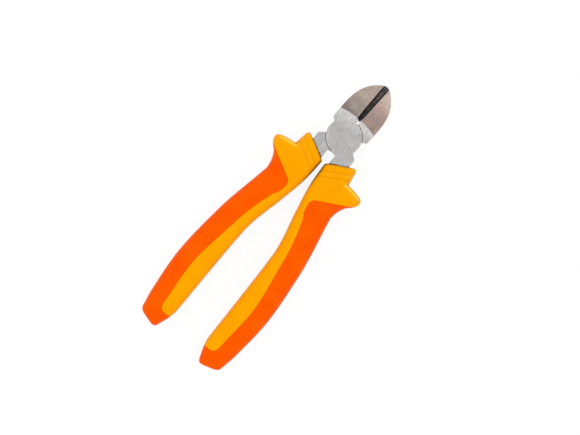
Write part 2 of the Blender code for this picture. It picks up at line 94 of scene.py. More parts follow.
# Cutting edges, with a relief slot in the rear jaw at their base
EDGE_GAP = 0.000002
EDGE_LAND = 0.0001
SLOT_WIDTH = 0.0011
SLOT_LENGTH = 0.0020
BEVEL_WIDTH = 0.0009
BEVEL_ANGLE = math.radians(42.0)
GROOVE_WALL_WIDTH = 0.0004
GROOVE_RUN_IN = 0.0030
GROOVE_RUN_IN_WIDTH = 0.0004

# Neck and tang
NECK_INNER = 0.0023
NECK_OVERHANG = 0.00225
NECK_HEEL_DROP = 0.0023
NECK_SEAT = 0.00025
NOTCH_MARGIN = 0.00045
TANG_ROOT_WIDTH = 0.0060
TANG_ROOT_THICKNESS = 0.0070
TANG_TIP_WIDTH = 0.0046
TANG_TIP_THICKNESS = 0.0048
TANG_ROOT_DEPTH = 0.0030
TANG_TIP_COVER = 0.0175
TANG_POWER = 6.0

# Handle sections, tail to collar: distance below the pivot, inner and outer edge, thickness and slant
TAIL_DROP, HEEL_DROP, BELLY_DROP, PALM_DROP = 0.1261, 0.1140, 0.0920, 0.0650
WAIST_DROP, GUARD_DROP, COLLAR_DROP = 0.0375, 0.0204, 0.01142
INNER_EDGES = (0.0134, 0.00968, 0.00943, 0.00885, 0.00405, 0.00125, 0.00076)
OUTER_EDGES = (0.0239, 0.0258, 0.02745, 0.02525, 0.0197, 0.0164, 0.01505)
THICKNESSES = (0.0104, 0.0122, 0.0132, 0.0130, 0.0126, 0.0132, 0.0124)
SLANTS = tuple(math.radians(angle) for angle in (16.5, 4.0, 0.0, 5.0, 22.0, 28.3))
TAIL_ROUND = 0.0018
SECTION_POWER = 3.6

# Distance of the handles' skins inside the CAD model's box
SKIN_INSET = 0.00007

# Collar rings and hand guard
COLLAR_ROUND = 0.0007
# Width of the band of painted shade along the collar's end
COLLAR_LIP = 0.0007
COLLAR_CORNER_WIDTH = 0.0016
COLLAR_CORNER_LENGTH = 0.0028
FIRST_GROOVE = 0.0043
LAST_GROOVE = 0.0016
RING_GROOVE_WIDTH = 0.0019
RING_GROOVE_DEPTH = 0.00018
GUARD_OVERHANG = 0.00975
GUARD_TOP_LENGTH = 0.0082
GUARD_UNDER_LENGTH = 0.0030
GUARD_ROOT_OVERHANG = 0.0062

# Pull of the guard's curves, as shares across and along each stretch of its outline
NOTCH_PULL = (0.82, 0.58)
TIP_TOP_PULL = (0.0, 0.20)
TIP_UNDER_PULL = (0.0, 0.70)
ROOT_UNDER_PULL = (0.60, 0.22)
ROOT_FLARE_PULL = (0.45, 0.09)
WAIST_FLARE_PULL = (0.0, 0.55)

# Two moulded layers, and the strip of sleeve along the inner side, with its widths from heel to guard
GRIP_WALL = 0.0018
GRIP_LIP = 0.00075
SEAM = 0.00006
CORE_GAP = 0.0001
CORE_OVERLAP = 0.0055
CORE_TAIL_GAP = 0.0055
STRIP_WIDTHS = (0.00735, 0.00905, 0.00615, 0.0046, 0.0035, 0.0035)
STRIP_LOBE_LENGTH = 0.0040
STRIP_TAIL_GAP = 0.0073
STRIP_TOP_CORNER = 0.0026
STRIP_END_CORNER = 0.0032

# Fineness of the skins
DISC_FACETS = 180
RIVET_FACETS = 96
SECTION_FACETS = 64
CORE_FACETS = 32
CORE_RINGS = 30
TANG_FACETS = 16
TANG_RINGS = 12
COLLAR_RINGS = 12
GROOVE_RINGS = 6
GUARD_TOP_POINTS = 34
GUARD_UNDER_POINTS = 22
GUARD_FLARE_POINTS = 18
RING_SPACING = 0.0010
TAIL_RINGS = 8
FLANK_POINTS = 48
CORNER_POINTS = 10
STRIP_POINTS = 60

# Share of the way to a corner at which a curve's handle makes a round turn
ARC_PULL = 0.55

# Angle above which an edge is sharp, angle under which two faces are one, and distance for two points
SHARP_ANGLE = math.radians(32.0)
FLAT_ANGLE = math.radians(0.03)
MERGE_DISTANCE = 0.000001

# Reach of a cutter past anything that it cuts
OVERRUN = 0.0010
FAR = 0.0400

# Photograph: a level view straight down, with the tool's axis turned clockwise
TOOL_TURN = math.radians(39.0)
VIEW_CENTRE = (0.00416, -0.04593, HALF_THICKNESS)
VIEW_WIDTH = 0.2778
LENS_MM = 100.0
SENSOR_MM = 36.0

# Finish of the steel, and its tones: heights where the joint turns paler, places where the ground faces
# change tone, and a painted highlight near the right jaw's tip
PALE_START, PALE_END = 0.0035, 0.0125
GROUND_TONE_END = 0.0220
ROSY_START, ROSY_END = -0.0030, 0.0050
ROSY_SHARE = 0.4
# Place and reach of a painted highlight on the ground face, near the right jaw's tip
HIGHLIGHT_SPOT = (0.0062, 0.0270, 2 * HALF_THICKNESS)
HIGHLIGHT_SPOT_RADIUS = 0.0075
LINE_DEPTH = 0.000004
GRIND_LINE_DEPTH = 0.000005

# Upward share of a face's normal: under this a groove's wall, which takes painted shade, and between these
# the wall along the arc, which takes a painted highlight
STEEP_FACE = 0.5
SLOPING_FACE = (0.2, 0.9)

# Colours of the steel, in linear red, green and blue
SPECK_GREY = (0.33, 0.32, 0.31)
LINE_GREY = (0.30, 0.29, 0.28)
GROUND_BASE = (0.205, 0.172, 0.152)
GROUND_TIP = (0.520, 0.428, 0.368)
GROUND_RIGHT = (0.450, 0.285, 0.250)
# Painted highlight near the right jaw's tip
GROUND_HIGHLIGHT = (0.90, 0.72, 0.60)
GROUND_ROSY = (0.550, 0.345, 0.300)
GROUND_OLIVE = (0.475, 0.425, 0.355)
GROUND_SPECK = (0.275, 0.228, 0.208)
GROUND_LINE = (0.31, 0.26, 0.24)

# Level of a noise from which a patch has its full share of colour
PATCH_FULL = 0.66

# Finish of the handles, and their painted shade: shares of the dark shade in the ring grooves and on the
# collar's lip, and in crevices
GROOVE_SHADE = 0.13
LIP_SHADE = 0.75
LIP_FADE = 0.2 * COLLAR_LIP
CREVICE_REACH = 0.0050
CREVICE_DARK, CREVICE_CLEAR = 0.45, 0.95
ROUGHNESS_SPREAD = 0.05

# Studio: the floor's shares of light and glow, the dome's strength, and a lamp past the jaws
FLOOR_HALF_WIDTH = 3.0
FLOOR_BOUNCE = 0.80
FLOOR_SHADE = 0.12
FLOOR_GLOW = 0.90
HORIZON_STRENGTH = 0.85
ZENITH_STRENGTH = 1.08
LAMP_PLACE = (0.0, 0.55, 0.18)
LAMP_WIDTH = 0.90
LAMP_HEIGHT = 0.20
LAMP_WATTS = 15.0

# Places that follow from the sizes above
SHOULDER_HEIGHT = JOINT_RADIUS * math.sin(SHOULDER_ANGLE)
JAW_HALF_WIDTH = JOINT_RADIUS + JAW_OVERHANG
NECK_OUTER = JOINT_RADIUS + NECK_OVERHANG
SLOT_TOP = JOINT_RADIUS + SLOT_LENGTH
GRIND_START = JOINT_RADIUS + GRIND_MARGIN
WAIST_OUTER, GUARD_OUTER = OUTER_EDGES[4:6]
COLLAR_SLANT = SLANTS[-1]
RING_GROOVE_DROPS = (COLLAR_DROP + FIRST_GROOVE, GUARD_DROP - LAST_GROOVE)
GUARD_REACH = GUARD_OUTER + GUARD_OVERHANG
GUARD_TIP_DROP = GUARD_DROP + GUARD_TOP_LENGTH
GUARD_ROOT_DROP = GUARD_TIP_DROP + GUARD_UNDER_LENGTH
GUARD_ROOT_OUTER = GUARD_OUTER + GUARD_ROOT_OVERHANG
GRIP_START_DROP = GUARD_ROOT_DROP - GRIP_LIP
CORE_START_DROP = GRIP_START_DROP - CORE_OVERLAP
CORE_END_DROP = TAIL_DROP - CORE_TAIL_GAP
TANG_END_DROP = CORE_END_DROP - TANG_TIP_COVER
LOBE_DROP = WAIST_DROP + STRIP_LOBE_LENGTH
SECTION_HEIGHTS = (-TAIL_DROP, -HEEL_DROP, -BELLY_DROP, -PALM_DROP, -WAIST_DROP, -GUARD_DROP, -COLLAR_DROP)
SLANT_HEIGHTS = SECTION_HEIGHTS[:5] + (-GRIP_START_DROP,)
STRIP_HEIGHTS = (-HEEL_DROP, -BELLY_DROP, -PALM_DROP, -LOBE_DROP, -WAIST_DROP, -GRIP_START_DROP)


# Curves and solids

def smooth_curve(knots, values, at):
    """Monotone cubic through the knots, so that a curve never swings past its stated sizes."""
    spans = [b - a for a, b in zip(knots, knots[1:])]
    slopes = [(b - a) / span for a, b, span in zip(values, values[1:], spans)]
    tangents = [slopes[0]]
    for left, right in zip(slopes, slopes[1:]):
        tangents.append(2 * left * right / (left + right) if left * right > 0 else 0.0)
    tangents.append(slopes[-1])
    i = max(k for k in range(len(spans)) if k == 0 or knots[k] <= at)
    u = (at - knots[i]) / spans[i]
    rise = (3 - 2 * u) * u * u
    bend = u * (1 - u) * spans[i] * ((1 - u) * tangents[i] - u * tangents[i + 1])
    return values[i] * (1 - rise) + values[i + 1] * rise + bend


def bezier(start, start_handle, end_handle, end, count):
    points = [Vector((*p, 0.0)) for p in (start, start_handle, end_handle, end)]
    return [(p.x, p.y) for p in interpolate_bezier(*points, count)]


def rounded(before, corner, after, size):
    """Round turn at a corner of an outline, as long on both of its sides as the given size."""
    corner = Vector(corner)
    start = corner + (Vector(before) - corner).normalized() * size
    end = corner + (Vector(after) - corner).normalized() * size
    return bezier(start, start.lerp(corner, ARC_PULL), end.lerp(corner, ARC_PULL), end, CORNER_POINTS)


def on_circle(radius, angle, centre=(0.0, 0.0)):
    return (centre[0] + radius * math.cos(angle), centre[1] + radius * math.sin(angle))


def arc(radius, start, end, centre=(0.0, 0.0)):
    steps = math.ceil(abs(end - start) / (2 * math.pi) * DISC_FACETS)
    return [on_circle(radius, start + (end - start) * k / steps, centre) for k in range(steps + 1)]


def turned_in_plan(points, angle):
    """Plan points turned clockwise about the rivet's axis."""
    turn = Matrix.Rotation(-angle, 2)
    return [tuple(turn @ Vector(p)) for p in points]


def scratch_object(data):
    obj = bpy.data.objects.new("scratch", data)
    bpy.context.scene.collection.objects.link(obj)
    return obj


def evaluated_mesh(obj):
    """Final mesh of an object, which is then removed."""
    bpy.context.view_layer.update()
    mesh = bpy.data.meshes.new_from_object(obj.evaluated_get(bpy.context.evaluated_depsgraph_get()))
    bpy.data.objects.remove(obj, do_unlink=True)
    return mesh


def extruded(outline, half_depth, edge_round=0.0):
    """Mesh of a flat closed outline, extruded to both sides of the parting plane."""
    curve = bpy.data.curves.new("outline", "CURVE")
    curve.dimensions = "2D"
    curve.fill_mode = "BOTH"
    curve.extrude = half_depth - edge_round
    curve.bevel_depth = edge_round
    curve.bevel_resolution = EDGE_ROUND_STEPS
    curve.offset = -edge_round
    spline = curve.splines.new("POLY")
    spline.points.add(len(outline) - 1)
    for point, (x, y) in zip(spline.points, outline):
        point.co = (x, y, 0.0, 1.0)
    spline.use_cyclic_u = True
    mesh = evaluated_mesh(scratch_object(curve))
    bm = bmesh.new()
    bm.from_mesh(mesh)
    bmesh.ops.remove_doubles(bm, verts=bm.verts, dist=MERGE_DISTANCE)
    bmesh.ops.recalc_face_normals(bm, faces=bm.faces)
    bm.to_mesh(mesh)
    bm.free()
    return mesh


def loft(rings):
    """Closed mesh through rings of equal point count, with a flat cap at each end."""
    bm = bmesh.new()
    rows = [[bm.verts.new(p) for p in ring] for ring in rings]
    for lower, upper in zip(rows, rows[1:]):
        for k in range(len(lower)):
            following = (k + 1) % len(lower)
            bm.faces.new((lower[k], lower[following], upper[following], upper[k]))
    bm.faces.new(rows[0])
    bm.faces.new(rows[-1])
    bmesh.ops.recalc_face_normals(bm, faces=bm.faces)
    mesh = bpy.data.meshes.new("loft")
    bm.to_mesh(mesh)
    bm.free()
    return mesh


def turned(profile):
    """Mesh turned about the rivet's axis from a profile that runs down its outer side."""
    mesh = bpy.data.meshes.new("turned")
    edges = [(k, k + 1) for k in range(len(profile) - 1)]
    mesh.from_pydata([(r, 0.0, z) for r, z in profile], edges, [])
    obj = scratch_object(mesh)
    screw = obj.modifiers.new("turn", "SCREW")
    screw.steps = RIVET_FACETS
    screw.render_steps = RIVET_FACETS
    screw.use_merge_vertices = True
    screw.merge_threshold = MERGE_DISTANCE
    return evaluated_mesh(obj)


def carved(mesh, steps):
    """Mesh after Boolean steps of (operation, tool mesh), whose cuts keep the tool's material."""
    obj = scratch_object(mesh)
    tools = []
    for operation, tool in steps:
        tools.append(scratch_object(tool))
        modifier = obj.modifiers.new(operation, "BOOLEAN")
        modifier.operation = operation
        modifier.solver = "EXACT"
        modifier.material_mode = "TRANSFER"
        modifier.object = tools[-1]
    result = evaluated_mesh(obj)
    for tool in tools:
        bpy.data.objects.remove(tool, do_unlink=True)
    return result


def without_splinters(mesh):
    """Mesh with the splinters of its Boolean cuts taken into the flat faces that they lie in."""
    bm = bmesh.new()
    bm.from_mesh(mesh)
    bmesh.ops.remove_doubles(bm, verts=bm.verts, dist=MERGE_DISTANCE)
    bmesh.ops.dissolve_limit(bm, angle_limit=FLAT_ANGLE, verts=bm.verts, edges=bm.edges,
                             delimit={"MATERIAL"})
    bm.to_mesh(mesh)
    bm.free()
    return mesh


def without_idle_points(mesh):
    """Mesh without the points where just two edges meet, in line with each other."""
    bm = bmesh.new()
    bm.from_mesh(mesh)
    idle = []
    for vertex in bm.verts:
        if len(vertex.link_edges) == 2:
            before, after = [edge.other_vert(vertex).co for edge in vertex.link_edges]
            nearest = intersect_point_line(vertex.co, before, after)[0]
            if (vertex.co - nearest).length < MERGE_DISTANCE:
                idle.append(vertex)
    bmesh.ops.dissolve_verts(bm, verts=idle)
    bm.to_mesh(mesh)
    bm.free()
    return mesh


# Handle form

def along(values, y):
    """Value at a height, from one value for each handle section, tail to collar."""
    return smooth_curve(SECTION_HEIGHTS, values, min(y, -COLLAR_DROP))


def inner_edge(y):
    return along(INNER_EDGES, y)


def outer_edge(y):
    """Outer edge of the handle without its hand guard."""
    return along(OUTER_EDGES, y)


def slant(y):
    """Slant of the sections: that of the collar as far as the grip's start, then easing off."""
    return smooth_curve(SLANT_HEIGHTS, SLANTS, min(y, -GRIP_START_DROP))


def middle(y):
    return (inner_edge(y) + outer_edge(y)) / 2


def on_section(x, y):
    """Plan point at x on the slanted line of the section at height y."""
    return (x, y + (x - middle(y)) * math.tan(slant(y)))


def section(y, inner, outer, full_thickness, power, count, inset=0.0):
    """Ring of points round a section: a rounded rectangle that stands on its slanted line."""
    half_width = (outer - inner) / 2 - inset
    half_height = full_thickness / 2 - inset
    ring = []
    for k in range(count):
        angle = 2 * math.pi * (k + 0.5) / count
        across = math.copysign(abs(math.cos(angle)) ** (2 / power), math.cos(angle))
        up = math.copysign(abs(math.sin(angle)) ** (2 / power), math.sin(angle))
        ring.append((*on_section((inner + outer) / 2 + across * half_width, y), up * half_height))
    return ring


def guard_stations():
    """Stations from the notch above the guard, over its tip and back into the waist of the grip."""
    notch = Vector((GUARD_OUTER, -GUARD_DROP))
    tip = Vector((GUARD_REACH, -GUARD_TIP_DROP))
    root = Vector((GUARD_ROOT_OUTER, -GUARD_ROOT_DROP))
    waist = Vector((WAIST_OUTER, -WAIST_DROP))
    stretches = ((notch, NOTCH_PULL, TIP_TOP_PULL, tip, GUARD_TOP_POINTS),
                 (tip, TIP_UNDER_PULL, ROOT_UNDER_PULL, root, GUARD_UNDER_POINTS),
                 (root, ROOT_FLARE_PULL, WAIST_FLARE_PULL, waist, GUARD_FLARE_POINTS))
    outline = [notch]
    for start, start_pull, end_pull, end, count in stretches:
        start_handle = start + Vector(start_pull) * (end - start)
        end_handle = end + Vector(end_pull) * (start - end)
        outline += bezier(start, start_handle, end_handle, end, count)[1:]
    return [(y, x, 0.0, 0.0) for x, y in outline]


def groove_stations(drop):
    """Stations across one soft ring groove of the collar, which fades out at the sides."""
    stations = []
    for k in range(-GROOVE_RINGS, GROOVE_RINGS + 1):
        share = k / GROOVE_RINGS
        y = -drop - share * RING_GROOVE_WIDTH / 2
        stations.append((y, outer_edge(y), 0.0, RING_GROOVE_DEPTH * (1 + math.cos(math.pi * share)) / 2))
    return stations


def round_off(distance, length):
    """Share of a rounding's width that is cut away at a distance from the end that it starts at."""
    left = max(0.0, 1 - distance / length)
    return 1 - math.sqrt(1 - left * left)


def handle_stations():
    """Height, outer edge, inset and dip of every section of the whole handle, collar to tail."""
    stations = []
    for k in range(COLLAR_RINGS + 1):
        distance = COLLAR_CORNER_LENGTH * (1 - math.cos(math.pi / 2 * k / COLLAR_RINGS))
        y = -COLLAR_DROP - distance
        corner = COLLAR_CORNER_WIDTH * round_off(distance, COLLAR_CORNER_LENGTH)
        stations.append((y, outer_edge(y) - corner, COLLAR_ROUND * round_off(distance, COLLAR_ROUND), 0.0))
    for drop in RING_GROOVE_DROPS:
        stations += groove_stations(drop)
    stations += guard_stations()
    shoulder = -TAIL_DROP + TAIL_ROUND + SKIN_INSET
    count = math.ceil((-WAIST_DROP - shoulder) / RING_SPACING)
    for k in range(1, count + 1):
        y = -WAIST_DROP + (shoulder + WAIST_DROP) * k / count
        stations.append((y, outer_edge(y), 0.0, 0.0))
    for k in range(1, TAIL_RINGS + 1):
        angle = math.pi / 2 * k / TAIL_RINGS
        y = shoulder - TAIL_ROUND * math.sin(angle)
        stations.append((y, outer_edge(y), TAIL_ROUND * (1 - math.cos(angle)), 0.0))
    return stations


def handle_mesh(mat):
    """Outer form of a whole handle: collar with ring grooves, hand guard, grip and rounded tail."""
    mesh = loft([section(y, inner_edge(y), outer, along(THICKNESSES, y) - 2 * dip, SECTION_POWER,
                         SECTION_FACETS, inset + SKIN_INSET) for y, outer, inset, dip in handle_stations()])
    mesh.materials.append(mat)
    return mesh


def core_mesh(gap):
    """Inner body of the sleeve under the grip, grown by a gap for the hollow of the grip."""
    start = -CORE_START_DROP + gap
    end = -CORE_END_DROP - gap
    heights = [start + (end - start) * k / CORE_RINGS for k in range(CORE_RINGS + 1)]
    return loft([section(y, inner_edge(y), outer_edge(y), along(THICKNESSES, y), SECTION_POWER,
                         CORE_FACETS, GRIP_WALL - gap) for y in heights])


def tang_mesh(gap):
    """Tapered tang from inside the neck down the middle of the handle, grown by a gap for its pocket."""
    start = -COLLAR_DROP + TANG_ROOT_DEPTH
    end = -TANG_END_DROP - gap
    rings = []
    for k in range(TANG_RINGS + 1):
        share = k / TANG_RINGS
        y = start + (end - start) * share
        half_width = (TANG_ROOT_WIDTH * (1 - share) + TANG_TIP_WIDTH * share) / 2
        depth = TANG_ROOT_THICKNESS * (1 - share) + TANG_TIP_THICKNESS * share
        rings.append(section(y, middle(y) - half_width, middle(y) + half_width, depth, TANG_POWER,
                             TANG_FACETS, -gap))
    return loft(rings)


def strip_edge(y):
    """Plan point where the strip of sleeve along the inner side meets the grip."""
    return on_section(inner_edge(y) + smooth_curve(STRIP_HEIGHTS, STRIP_WIDTHS, y), y)


def sleeve_outline(gap):
    """Plan region where the sleeve reaches the surface: collar, guard and inner strip, grown by a gap."""
    grip_line = on_section(FAR, -GRIP_START_DROP)
    top = -GRIP_START_DROP - STRIP_TOP_CORNER
    edge = [strip_edge(top + (-HEEL_DROP - top) * k / STRIP_POINTS) for k in range(STRIP_POINTS + 1)]
    end_y = -TAIL_DROP + STRIP_TAIL_GAP
    heading = (edge[-1][0] - edge[-2][0]) / (edge[-1][1] - edge[-2][1])
    end_corner = (edge[-1][0] + (end_y - edge[-1][1]) * heading, end_y)
    inner_side = (-FAR, end_y)
    boundary = [grip_line]
    boundary += rounded(grip_line, strip_edge(-GRIP_START_DROP), edge[0], STRIP_TOP_CORNER)
    boundary += edge[1:]
    boundary += rounded(edge[-1], end_corner, inner_side, STRIP_END_CORNER)
    boundary.append(inner_side)
    grown = []
    for k, (x, y) in enumerate(boundary):
        ahead = Vector(boundary[min(k + 1, len(boundary) - 1)])
        behind = Vector(boundary[max(k - 1, 0)])
        direction = (ahead - behind).normalized()
        grown.append((x - direction.y * gap, y + direction.x * gap))
    return grown + [(-FAR, 0.0), (FAR, 0.0)]


# Forged half

def half_outline(lean, slot_width):
    """Plan of a half, counterclockwise from the base of the cutting edge: left jaw, disc and right neck.

    The heel of the jaw keeps its height when the jaw leans.
    """
    edge_x = -EDGE_GAP / 2
    nose = Vector((-NOSE_HALF_WIDTH, JAW_REACH - NOSE_DROP))
    nose_handle = nose + NOSE_FULLNESS * Vector((-math.cos(NOSE_SLOPE), -math.sin(NOSE_SLOPE)))
    flank = Vector((-JAW_HALF_WIDTH, FLANK_START))
    jaw_heel = (-JAW_HALF_WIDTH, SHOULDER_HEIGHT + JAW_HEEL_RISE - JAW_HALF_WIDTH * math.tan(lean))
    jaw = [(edge_x, JAW_REACH)]
    if slot_width:
        jaw = [(edge_x - slot_width, SLOT_TOP), (edge_x, SLOT_TOP)] + jaw
    jaw += bezier(nose, nose_handle, flank + Vector((0.0, FLANK_FULLNESS)), flank, FLANK_POINTS)
    jaw += rounded(flank, jaw_heel, on_circle(JOINT_RADIUS, math.pi - SHOULDER_ANGLE), SHOULDER_ROUND)

    seat = NECK_SEAT / math.cos(COLLAR_SLANT)
    inner_end, outer_end = [on_section(x, -COLLAR_DROP + seat) for x in (NECK_INNER, NECK_OUTER)]
    notch = (NECK_INNER, -JOINT_RADIUS - NOTCH_MARGIN)
    neck_heel = (NECK_OUTER, -SHOULDER_HEIGHT - NECK_HEEL_DROP)
    neck = [notch, inner_end, outer_end]
    neck += rounded(outer_end, neck_heel, on_circle(JOINT_RADIUS, -SHOULDER_ANGLE), SHOULDER_ROUND)

    tangent = math.atan2(notch[1], notch[0]) - math.acos(JOINT_RADIUS / math.hypot(*notch))
    base_angle = math.acos((edge_x - slot_width) / JOINT_RADIUS)
    outline = turned_in_plan(jaw, lean)
    outline += arc(JOINT_RADIUS, math.pi - SHOULDER_ANGLE, tangent + 2 * math.pi)
    outline += neck
    outline += arc(JOINT_RADIUS, -SHOULDER_ANGLE, base_angle - lean)
    return outline


def ground_height(y):
    """Height of the ground jaw face above the parting plane."""
    return HALF_THICKNESS - GRIND_STEP - (y - GRIND_START) * math.tan(GRIND_TAPER)


def grind_mesh(side):
    """Cutter whose tapered underside is the ground face of the jaw, with a sloping wall along an arc."""
    centre = (0.0, GRIND_START - GRIND_ARC_RADIUS)
    reach = JAW_HALF_WIDTH + OVERRUN
    half_angle = math.asin(reach / GRIND_ARC_RADIUS)
    outline = arc(GRIND_ARC_RADIUS, math.pi / 2 + half_angle, math.pi / 2 - half_angle, centre)
    outline += [(reach, JAW_REACH + OVERRUN), (-reach, JAW_REACH + OVERRUN)]
    mesh = extruded(outline, HALF_THICKNESS)
    for vertex in mesh.vertices:
        x, y, z = vertex.co
        rise = HALF_THICKNESS + z
        on_arc = y < JAW_REACH
        vertex.co = (x, y - on_arc * rise * GRIND_WALL_RUN / GRIND_STEP, side * (ground_height(y) + rise))
    if side < 0:
        mesh.flip_normals()
    # The sloping wall along the arc takes a pale steel: a painted highlight
    mesh.materials.append(ground_steel)
    mesh.materials.append(arc_highlight_steel)
    for face in mesh.polygons:
        sloping = SLOPING_FACE[0] < abs(face.normal.z) < SLOPING_FACE[1]
        face.material_index = int(sloping)
    return mesh


def groove_mesh(side):
    """Cutter of one side's V: the cutting bevel, then a steep wall up to the ground face."""
    base = SLOT_TOP - EDGE_LAND
    full = base + GROOVE_RUN_IN
    tip = JAW_REACH + OVERRUN
    low = EDGE_LAND / 2
    slope = math.tan(BEVEL_ANGLE)
    sky = HALF_THICKNESS + 2 * OVERRUN
    rings = []
    for y, bevel, top in ((base, BEVEL_WIDTH - GROOVE_RUN_IN_WIDTH, HALF_THICKNESS),
                          (full, BEVEL_WIDTH, ground_height(full)), (tip, BEVEL_WIDTH, ground_height(tip))):
        foot = Vector((-bevel, low + bevel * slope))
        ridge = Vector((-bevel - GROOVE_WALL_WIDTH, top))
        above = ridge + (ridge - foot).normalized() * OVERRUN
        profile = ((OVERRUN, low - OVERRUN * slope), foot, above, (above.x, sky), (OVERRUN, sky))
        rings.append([(x, y, side * z) for x, z in profile])
    mesh = loft(rings)
    # The steep walls take the darkest steel: painted shade in the V
    mesh.materials.append(edge_steel)
    mesh.materials.append(shaded_wall_steel)
    for face in mesh.polygons:
        steep = abs(face.normal.z) < STEEP_FACE
        face.material_index = int(steep)
    return mesh


def recess_mesh():
    """Room for the other half's disc: everything behind the lap face, out to the rim gap."""
    half_depth = (HALF_THICKNESS + OVERRUN) / 2
    mesh = extruded(arc(JOINT_RADIUS + RIM_GAP, 0.0, 2 * math.pi)[:-1], half_depth)
    for vertex in mesh.vertices:
        vertex.co.z += LAP_GAP / 2 - half_depth
    return mesh


def rivet_profile(gap, overrun):
    """Shank with a countersunk head at each end, grown by a gap for the hole it sits in."""
    head = RIVET_HEAD_RADIUS + gap
    upper = [(0.0, HALF_THICKNESS + overrun), (head, HALF_THICKNESS + overrun)]
    if overrun:
        upper.append((head, HALF_THICKNESS))
    upper.append((RIVET_RADIUS + gap, HALF_THICKNESS - RIVET_CONE_DEPTH))
    return upper + [(r, -z) for r, z in reversed(upper)]


def half_mesh(lean, slot_width):
    """Jaw, half of the lap joint, neck and tang in one forging, with its ground and cutting faces."""
    body = extruded(half_outline(lean, slot_width), HALF_THICKNESS, EDGE_ROUND)
    body.materials.append(joint_steel)
    steps = [("UNION", tang_mesh(0.0)), ("DIFFERENCE", recess_mesh())]
    for side in (1, -1):
        for tool in (grind_mesh(side), groove_mesh(side)):
            tool.transform(Matrix.Rotation(-lean, 4, "Z"))
            steps.append(("DIFFERENCE", tool))
    steps.append(("DIFFERENCE", turned(rivet_profile(RIVET_GAP, OVERRUN))))
    return without_splinters(carved(body, steps))


def sleeve_mesh():
    """Insulating sleeve: collar, guard and inner strip at the surface, and a core under the grip."""
    steps = [("INTERSECT", extruded(sleeve_outline(0.0), FAR)), ("UNION", core_mesh(0.0)),
             ("DIFFERENCE", tang_mesh(CORE_GAP))]
    return without_idle_points(carved(handle_mesh(yellow_insulation), steps))


def grip_mesh():
    """Grip layer over the outer side and the tail of the sleeve's core."""
    steps = [("DIFFERENCE", extruded(sleeve_outline(SEAM), FAR)), ("DIFFERENCE", core_mesh(CORE_GAP))]
    return carved(handle_mesh(orange_grip), steps)


# Materials

def link(tree, source, target):
    tree.links.new(source, target)
    return target


def noise(tree, scale, stretch=(1.0, 1.0, 1.0), detail=3.0):
    """Noise of a given number of cells to the metre, stretched along the object's axes."""
    nodes = tree.nodes
    place = nodes.new("ShaderNodeTexCoord")
    mapping = nodes.new("ShaderNodeMapping")
    mapping.inputs["Scale"].default_value = [scale / s for s in stretch]
    texture = nodes.new("ShaderNodeTexNoise")
    texture.inputs["Scale"].default_value = 1.0
    texture.inputs["Detail"].default_value = detail
    link(tree, place.outputs["Object"], mapping.inputs["Vector"])
    link(tree, mapping.outputs["Vector"], texture.inputs["Vector"])
    return texture.outputs["Fac"]


def spread(tree, value, low, high, start=0.35, end=0.65):
    """Value mapped from its usual range to another."""
    node = tree.nodes.new("ShaderNodeMapRange")
    for name, number in (("From Min", start), ("From Max", end), ("To Min", low), ("To Max", high)):
        node.inputs[name].default_value = number
    link(tree, value, node.inputs["Value"])
    return node.outputs["Result"]


def tint(tree, factor, first, second):
    """Mix of two colours, each a colour or the output of another mix."""
    node = tree.nodes.new("ShaderNodeMix")
    node.data_type = "RGBA"
    link(tree, factor, node.inputs[0])
    for slot, colour in ((6, first), (7, second)):
        if isinstance(colour, tuple):
            node.inputs[slot].default_value = (*colour, 1.0)
        else:
            link(tree, colour, node.inputs[slot])
    return node.outputs[2]


def coordinate(tree, kind):
    """X, Y and Z of a kind of texture coordinate."""
    place = tree.nodes.new("ShaderNodeTexCoord")
    split = tree.nodes.new("ShaderNodeSeparateXYZ")
    link(tree, place.outputs[kind], split.inputs["Vector"])
    return split.outputs


def along_axis(tree, axis, start, end):
    """Share of the way between two places along one of the object's axes."""
    return spread(tree, coordinate(tree, "Object")[axis], 0.0, 1.0, start, end)


def reckon(tree, operation, first, second=0.0):
    """Math node on two terms, each a number or the output of another node."""
    node = tree.nodes.new("ShaderNodeMath")
    node.operation = operation
    for slot, term in enumerate((first, second)):
        if isinstance(term, float):
            node.inputs[slot].default_value = term
        else:
            link(tree, term, node.inputs[slot])
    return node.outputs["Value"]


def collar_distance(tree):
    """Distance down from the collar's end, across its slanted sections, on either handle."""
    point = coordinate(tree, "Object")
    across = reckon(tree, "SUBTRACT", reckon(tree, "ABSOLUTE", point["X"]), middle(-COLLAR_DROP))
    rise = reckon(tree, "MULTIPLY", across, math.tan(COLLAR_SLANT))
    return reckon(tree, "SUBTRACT", reckon(tree, "SUBTRACT", rise, point["Y"]), COLLAR_DROP)


def facing_up(tree):
    """One on faces that lie square to the rivet's axis, and zero on upright ones."""
    return reckon(tree, "ABSOLUTE", coordinate(tree, "Normal")["Z"])


def near(tree, place, radius):
    """One at a place in the object's axes, fading to zero at a radius from it."""
    point = tree.nodes.new("ShaderNodeTexCoord")
    distance = tree.nodes.new("ShaderNodeVectorMath")
    distance.operation = "DISTANCE"
    link(tree, point.outputs["Object"], distance.inputs[0])
    distance.inputs[1].default_value = place
    return spread(tree, distance.outputs["Value"], 1.0, 0.0, 0.0, radius)


def crevice_shade(tree, colour, dark, reach):
    """Colour with painted shade: darker where another surface comes close, by ambient occlusion."""
    node = tree.nodes.new("ShaderNodeAmbientOcclusion")
    node.inputs["Distance"].default_value = reach
    return tint(tree, spread(tree, node.outputs["AO"], 1.0, 0.0, CREVICE_DARK, CREVICE_CLEAR), colour, dark)


def patches(tree, amount, start, scale, stretch=(1.0, 1.0, 1.0)):
    """Share of a second colour, up to an amount, in patches where a noise goes over its start."""
    return spread(tree, noise(tree, scale, stretch), 0.0, amount, start, PATCH_FULL)


